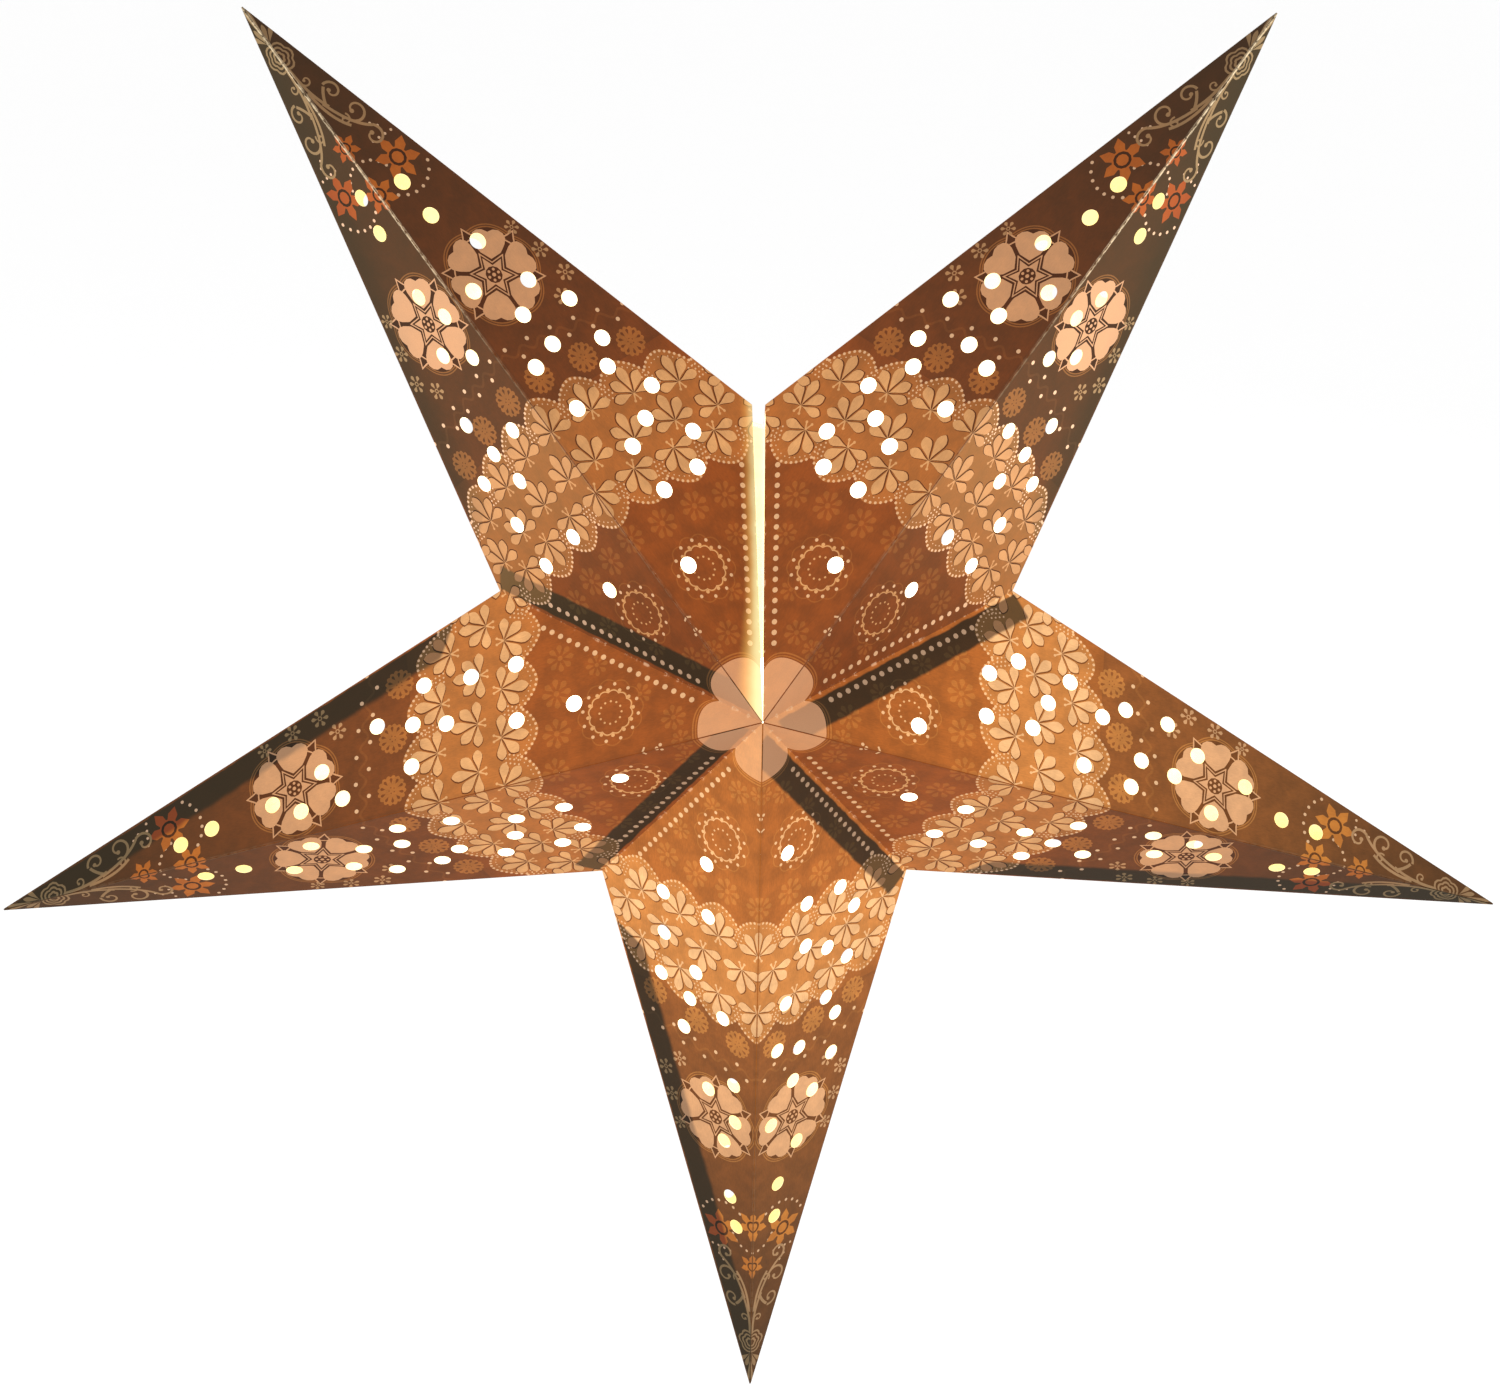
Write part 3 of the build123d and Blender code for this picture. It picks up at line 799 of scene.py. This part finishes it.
# ---- Materials ------------------------------------------------------------------------
class Nodes:
    """Short ways to build one material's node tree."""

    def __init__(self, name):
        self.material = bpy.data.materials.new(name)
        self.material.use_nodes = True
        self.tree = self.material.node_tree
        self.shader = self.tree.nodes["Principled BSDF"]

    def set(self, socket, value):
        """Link a socket to another, or give it a constant."""
        if hasattr(value, "links"):
            self.tree.links.new(value, socket)
        elif socket.type == "VECTOR":
            socket.default_value = value[:3]
        elif socket.type == "RGBA":
            socket.default_value = (*value[:3], 1)
        else:
            socket.default_value = value

    def node(self, kind, **inputs):
        """A new node; an underscore in an input's name stands for a space."""
        made = self.tree.nodes.new(kind)
        for name, value in inputs.items():
            self.set(made.inputs[name.replace("_", " ")], value)
        return made

    def math(self, operation, *values):
        made = self.tree.nodes.new("ShaderNodeMath")
        made.operation = operation
        for socket, value in zip(made.inputs, values):
            self.set(socket, value)
        return made.outputs[0]

    def ramp(self, value, low, high, start=0.0, end=1.0):
        """A smooth step from start, where the value is low, to end, where it is high."""
        made = self.tree.nodes.new("ShaderNodeMapRange")
        made.interpolation_type = "SMOOTHSTEP"
        for socket, number in zip(made.inputs, (value, low, high, start, end)):
            self.set(socket, number)
        return made.outputs[0]

    def attribute(self, name, output="Color"):
        made = self.tree.nodes.new("ShaderNodeAttribute")
        made.attribute_name = name
        return made.outputs[output]

    def object_place(self):
        return self.node("ShaderNodeTexCoord").outputs["Object"]

    def noise(self, vector, scale, detail=2.0, roughness=0.5):
        made = self.node(
            "ShaderNodeTexNoise", Vector=vector, Scale=scale, Detail=detail, Roughness=roughness
        )
        return made.outputs["Fac"]

    def mix(self, share, first, second, blend="MIX"):
        """Blend two colours; 6 and 7 are the node's colour inputs, and 2 its colour output."""
        made = self.tree.nodes.new("ShaderNodeMix")
        made.data_type = "RGBA"
        made.blend_type = blend
        self.set(made.inputs[0], share)
        self.set(made.inputs[6], first)
        self.set(made.inputs[7], second)
        return made.outputs[2]

    def scaled(self, vector, scale):
        made = self.tree.nodes.new("ShaderNodeVectorMath")
        made.operation = "MULTIPLY"
        self.set(made.inputs[0], vector)
        self.set(made.inputs[1], scale)
        return made.outputs[0]

    def times(self, colour, factor):
        made = self.tree.nodes.new("ShaderNodeVectorMath")
        made.operation = "SCALE"
        self.set(made.inputs[0], colour)
        self.set(made.inputs["Scale"], factor)
        return made.outputs[0]

    def bump(self, height, strength, distance):
        made = self.node("ShaderNodeBump", Height=height)
        made.inputs["Strength"].default_value = strength
        made.inputs["Distance"].default_value = distance
        self.set(self.shader.inputs["Normal"], made.outputs[0])

    def finish(self, colour, roughness):
        self.set(self.shader.inputs["Base Color"], colour)
        self.set(self.shader.inputs["Roughness"], roughness)

    def shine(self, light, lights_room=False):
        """Give off light; a surface that doesn't light the room isn't sampled as a lamp."""
        self.set(self.shader.inputs["Emission Color"], light)
        self.shader.inputs["Emission Strength"].default_value = 1.0
        if not lights_room:
            self.material.cycles.emission_sampling = "NONE"


def paper_grain(nodes, place):
    """Cloudy pulp and fine fibres of the handmade card, each around 1."""
    clouds = nodes.noise(place, 0.11, 4.0, 0.62)
    streaks = nodes.noise(nodes.scaled(place, (0.5, 2.2, 1.0)), 0.9, 3.0, 0.6)
    fibres = nodes.noise(place, 2.6, 2.0, 0.7)
    soft = nodes.ramp(clouds, 0.30, 0.72, 0.80, 1.16)
    fine = nodes.ramp(streaks, 0.25, 0.75, 0.90, 1.10)
    return nodes.math("MULTIPLY", soft, fine), fibres


def dot_product(nodes, spot, way, start=(0.0, 0.0)):
    """Distance of the shaded spot along a direction of the flat frame, mm."""
    across = nodes.math("MULTIPLY", spot[1], way.y)
    total = nodes.math("MULTIPLY_ADD", spot[0], way.x, across)
    return nodes.math("SUBTRACT", total, start[0] * way.x + start[1] * way.y)


def product(nodes, *values):
    """All the values multiplied together."""
    total = values[0]
    for value in values[1:]:
        total = nodes.math("MULTIPLY", total, value)
    return total


def strip_shadows(nodes, place, spot):
    """Share of the lamp's light left where a seam tab or a side flap is glued behind the card."""
    pattern = nodes.node("ShaderNodeSeparateColor", Color=nodes.attribute("strips")).outputs
    ragged = nodes.ramp(nodes.noise(place, 0.12, 3.0), 0.3, 0.7, -0.25, 0.25)
    seam = nodes.math("ADD", dot_product(nodes, spot, FROM_SEAM), ragged)
    seam_run = dot_product(nodes, spot, SEAM_WAY)
    tab = product(
        nodes,
        pattern[0],
        nodes.ramp(seam, TAB_NEAR - 0.6, TAB_NEAR + 0.6),
        nodes.ramp(seam, TAB_FAR - 0.8, TAB_FAR + 1.2, 1.0, 0.0),
        nodes.ramp(seam_run, 4.0, 7.0),
        nodes.ramp(seam_run, SEAM_LENGTH - 1.0, SEAM_LENGTH + 0.6, 1.0, 0.0),
    )
    edge = nodes.math("ADD", dot_product(nodes, spot, FROM_EDGE, NOTCH), ragged)
    edge_run = dot_product(nodes, spot, EDGE_WAY, NOTCH)
    blur = nodes.math("MULTIPLY_ADD", pattern[2], 14.0, 0.6)
    fade = nodes.math("DIVIDE", nodes.math("SUBTRACT", edge, FLAP_FAR), blur)
    slant = nodes.math("SUBTRACT", edge_run, edge)
    flap = product(
        nodes,
        pattern[1],
        nodes.ramp(edge, FLAP_NEAR - 0.4, FLAP_NEAR + 0.4),
        nodes.ramp(fade, -1.0, 1.0, 1.0, 0.0),
        nodes.ramp(slant, FLAP_START, FLAP_START + 3.0),
    )
    covered = nodes.math("MAXIMUM", tab, flap)
    return nodes.ramp(covered, 0.0, 1.0, 1.0, STRIP_LIGHT), seam


def light_left(nodes, along):
    """Share of the lamp's light that reaches each place along the arm."""
    fall = nodes.tree.nodes.new("ShaderNodeValToRGB")
    stops = fall.color_ramp.elements
    for position, _ in LIGHT_FALL[1:-1]:
        stops.new(position)
    for stop, (_, share) in zip(stops, LIGHT_FALL):
        stop.color = (share, share, share, 1)
    nodes.set(fall.inputs[0], along)
    return fall.outputs[0]


def worn_ink(nodes, place, spot, seam):
    """The print's own colour, rubbed pale along the upper ridges and at the seams."""
    worn_noise = nodes.noise(nodes.scaled(place, (0.35, 3.0, 1.0)), 1.0, 3.0, 0.7)
    worn = product(
        nodes,
        nodes.ramp(spot[1], WEAR_NEAR, WEAR_FAR, 1.0, 0.0),
        nodes.ramp(worn_noise, 0.40, 0.56),
        nodes.ramp(spot[0], WEAR_FROM, WEAR_FULL, 0.08, 0.6),
        nodes.attribute("strips", "Alpha"),
    )
    scuff_noise = nodes.noise(place, 0.22, 4.0, 0.7)
    scuff = product(
        nodes,
        nodes.ramp(seam, SCUFF_NEAR, SCUFF_FAR, 1.0, 0.0),
        nodes.ramp(scuff_noise, 0.52, 0.62),
        0.55,
    )
    return nodes.mix(nodes.math("MAXIMUM", worn, scuff), nodes.attribute("ink"), BARE_PAPER)


def slit_spill(nodes, spot, seam, through):
    """Add the light that spills round the untied closing seam onto the edge of its card."""
    width = nodes.ramp(spot[0], 4.0, 50.0, SPILL_AT_HUB, SPILL_BEYOND)
    spread = nodes.math("DIVIDE", seam, width)
    spill = product(
        nodes,
        nodes.ramp(spread, 0.08, 1.0, 1.0, 0.0),
        nodes.attribute("light", "Alpha"),
        nodes.ramp(spot[0], 6.0, 110.0, 1.0, 0.5),
    )
    colour = nodes.mix(nodes.ramp(spread, 0.0, 0.7), (1.0, 0.86, 0.42), (0.95, 0.48, 0.10))
    return nodes.mix(spill, through, colour)


def print_material():
    """Outer side of the card: ink in room light, and the lamp's light coming through it."""
    nodes = Nodes("printed_card_front")
    place = nodes.attribute("place", "Vector")
    near, far, room = nodes.node("ShaderNodeSeparateColor", Color=nodes.attribute("light")).outputs[:3]
    spot = nodes.node("ShaderNodeSeparateXYZ", Vector=place).outputs
    grain, fibres = paper_grain(nodes, place)
    along = nodes.math("DIVIDE", spot[0], ARM_LENGTH)
    reach = nodes.math("MULTIPLY_ADD", along, nodes.math("SUBTRACT", far, near), near)
    shadow, seam = strip_shadows(nodes, place, spot)
    crease = nodes.ramp(spot[1], 0.0, CREASE_WIDTH, CREASE_LIGHT, 1.0)
    strength = product(nodes, light_left(nodes, along), reach, shadow, grain, crease)
    tone = nodes.ramp(fibres, 0.2, 0.8, 0.93, 1.07)
    ink = nodes.times(worn_ink(nodes, place, spot, seam), tone)
    # Thin card looks pale where the lamp is strong, and a deep orange where it is weak.
    warmth = nodes.tree.nodes.new("ShaderNodeGamma")
    nodes.set(warmth.inputs["Color"], nodes.attribute("glow"))
    nodes.set(warmth.inputs["Gamma"], nodes.ramp(reach, 0.35, 1.0, WEAK_GAMMA, STRONG_GAMMA))
    through = nodes.times(warmth.outputs[0], strength)
    # Room light falls on the panels that are turned towards it, more so away from the hub.
    faced = product(nodes, room, nodes.ramp(spot[0], ROOM_LIGHT_FROM, ROOM_LIGHT_FULL, 0.05, 1.0))
    through = nodes.mix(1.0, through, nodes.times(ink, faced), "ADD")
    nodes.finish(ink, nodes.ramp(fibres, 0.2, 0.8, 0.50, 0.68))
    nodes.shine(slit_spill(nodes, spot, seam, through))
    nodes.shader.inputs["Specular IOR Level"].default_value = 0.08
    nodes.bump(nodes.math("ADD", fibres, grain), 0.22, 0.00012)
    return nodes.material


def inside_material():
    """Unprinted side of the card, flooded by the lamp: pale near the hub, yellower at the tips."""
    nodes = Nodes("card_inside")
    place = nodes.attribute("place", "Vector")
    spot = nodes.node("ShaderNodeSeparateXYZ", Vector=place).outputs
    grain, fibres = paper_grain(nodes, place)
    along = nodes.math("DIVIDE", spot[0], ARM_LENGTH)
    light = nodes.mix(nodes.ramp(along, 0.35, 0.72), (1.0, 0.95, 0.78), (1.0, 0.93, 0.40))
    strength = nodes.math("MULTIPLY", nodes.ramp(along, 0.1, 0.75, 2.6, 0.42), grain)
    nodes.finish(srgb(214, 200, 172), nodes.ramp(fibres, 0.2, 0.8, 0.72, 0.9))
    nodes.shine(nodes.times(light, strength))
    nodes.bump(fibres, 0.2, 0.0001)
    return nodes.material


def strip_material(name, light, strength):
    """Plain card of the glued strips, lit from behind."""
    nodes = Nodes(name)
    place = nodes.object_place()
    clouds = nodes.noise(place, 90.0, 4.0, 0.6)
    fibres = nodes.noise(place, 2200.0, 2.0, 0.7)
    pulp = nodes.mix(clouds, srgb(206, 188, 154), srgb(222, 206, 176))
    nodes.finish(pulp, nodes.ramp(fibres, 0.2, 0.8, 0.7, 0.88))
    nodes.shine(nodes.times(light, nodes.ramp(clouds, 0.3, 0.7, 0.86 * strength, 1.1 * strength)))
    nodes.bump(fibres, 0.2, 0.0001)
    return nodes.material


def plastic_material():
    """Moulded black plastic of the lampholder, finely textured."""
    nodes = Nodes("holder_plastic")
    place = nodes.object_place()
    fine = nodes.noise(place, 1800.0, 3.0, 0.6)
    smear = nodes.noise(place, 60.0, 3.0, 0.5)
    black = nodes.mix(smear, srgb(26, 25, 24), srgb(38, 37, 35))
    nodes.finish(black, nodes.ramp(fine, 0.3, 0.7, 0.38, 0.52))
    nodes.bump(fine, 0.25, 0.00008)
    return nodes.material


def metal_material(name, light, dark, rough):
    """Drawn metal: brass of the socket, or the steel of the hanger wire."""
    nodes = Nodes(name)
    place = nodes.object_place()
    tarnish = nodes.noise(place, 120.0, 4.0, 0.6)
    drawn = nodes.noise(nodes.scaled(place, (1.0, 1.0, 0.05)), 2600.0, 2.0, 0.5)
    nodes.finish(nodes.mix(tarnish, light, dark), nodes.ramp(drawn, 0.3, 0.7, rough, rough + 0.16))
    nodes.shader.inputs["Metallic"].default_value = 1.0
    nodes.bump(drawn, 0.1, 0.00005)
    return nodes.material


def bulb_material():
    """Frosted glass around a warm lamp, brightest around its middle."""
    nodes = Nodes("frosted_bulb")
    place = nodes.node("ShaderNodeTexCoord").outputs["Generated"]
    height = nodes.node("ShaderNodeSeparateXYZ", Vector=place).outputs[2]
    frost = nodes.noise(place, 60.0, 3.0, 0.6)
    middle = nodes.ramp(height, 0.95, 0.45, 2.5, 9.0)
    strength = nodes.math("MULTIPLY", middle, nodes.ramp(frost, 0.3, 0.7, 0.92, 1.06))
    nodes.finish(srgb(246, 238, 222), 0.45)
    nodes.shine(nodes.times((1.0, 0.78, 0.46), strength), lights_room=True)
    return nodes.material


materials = {
    "print": print_material(),
    "inside": inside_material(),
    "strip": strip_material("strip_card", (1.0, 0.82, 0.46), 1.4),
    "closing": strip_material("closing_card", (1.0, 0.84, 0.36), 0.5),
    "plastic": plastic_material(),
    "brass": metal_material("brass", (0.78, 0.58, 0.28), (0.55, 0.38, 0.16), 0.28),
    "wire": metal_material("steel_wire", (0.60, 0.58, 0.55), (0.42, 0.40, 0.38), 0.30),
    "bulb": bulb_material(),
}
CARRIED = {
    "front_closing_tab": "closing",
    "back_closing_tab": "closing",
    "cord_grip": "plastic",
    "lampholder_cap": "plastic",
    "lampholder_sleeve": "plastic",
    "socket_liner": "brass",
    "bulb_base": "brass",
    "bulb_contact": "brass",
    "bulb_glass": "bulb",
    "hanger_wire": "wire",
}


def dress_carried_nodes():
    """Give the CAD pieces that stay their finished materials."""
    for name, node in frame["nodes"].items():
        kind = CARRIED.get(name)
        if kind is None and name.endswith(("_side_flap", "_seam_tab")):
            kind = "strip"
        if kind:
            for slot in node.material_slots:
                slot.material = materials[kind]


# ---- Studio ---------------------------------------------------------------------------
def make_studio():
    """Plain pale floor, white surroundings and two soft lights."""
    lowest = cad_box[0][2]
    bpy.ops.mesh.primitive_circle_add(
        vertices=96, radius=FLOOR_RADIUS, fill_type="NGON", location=(0, 0, lowest - FLOOR_DROP)
    )
    floor = bpy.context.object
    floor.name = "studio_floor"
    nodes = Nodes("pale_floor")
    place = nodes.object_place()
    pale = nodes.mix(nodes.noise(place, 3.0, 2.0), (0.985, 0.985, 0.985), (0.99, 0.99, 0.99))
    nodes.finish(pale, 0.9)
    nodes.shader.inputs["Specular IOR Level"].default_value = 0.1
    floor.data.materials.append(nodes.material)
    world = bpy.data.worlds.new("studio")
    bpy.context.scene.world = world
    world.use_nodes = True
    world.node_tree.nodes["Background"].inputs["Color"].default_value = (1, 1, 1, 1)
    world.node_tree.nodes["Background"].inputs["Strength"].default_value = 1.0
    for name, place, watts in STUDIO_LIGHTS:
        lamp = bpy.data.lights.new(name, "AREA")
        lamp.shape = "DISK"
        lamp.size = LIGHT_SIZE
        lamp.energy = watts
        holder = bpy.data.objects.new(name, lamp)
        holder.location = place
        way = LIGHT_AIM - Vector(place)
        holder.rotation_euler = way.to_track_quat("-Z", "Y").to_euler()
        bpy.context.scene.collection.objects.link(holder)
    bpy.context.scene.view_settings.view_transform = "Standard"


def make_camera(centre_height):
    """The camera at the photograph's viewing angle, around the height of the star's centre."""
    azimuth, elevation = radians(CAMERA_AZIMUTH), radians(CAMERA_ELEVATION)
    back = Vector((sin(azimuth) * cos(elevation), -cos(azimuth) * cos(elevation), sin(elevation)))
    centre = Vector((0, 0, centre_height))
    place = centre + back * CAMERA_DISTANCE + Vector((CAMERA_SHIFT_X, 0, CAMERA_SHIFT_Z))
    right = (-back).cross(Vector((0, 0, 1))).normalized()
    up = right.cross(-back)
    roll = radians(CAMERA_ROLL)
    rolled_right = right * cos(roll) + up * sin(roll)
    rolled_up = up * cos(roll) - right * sin(roll)
    camera = bpy.data.objects.new("camera", bpy.data.cameras.new("camera"))
    camera.matrix_world = Matrix((rolled_right, rolled_up, back)).transposed().to_4x4()
    camera.location = place
    camera.data.sensor_width = SENSOR_WIDTH
    camera.data.lens = CAMERA_LENS
    camera.data.clip_start = 0.05
    camera.data.clip_end = 100
    bpy.context.scene.collection.objects.link(camera)
    bpy.context.scene.camera = camera


make_camera(Panel("upper_left_front_first_panel").hub.z * MM)
make_studio()
for node_name in sorted(frame["nodes"]):
    if node_name.endswith("_panel"):
        make_card(Panel(node_name))
dress_carried_nodes()
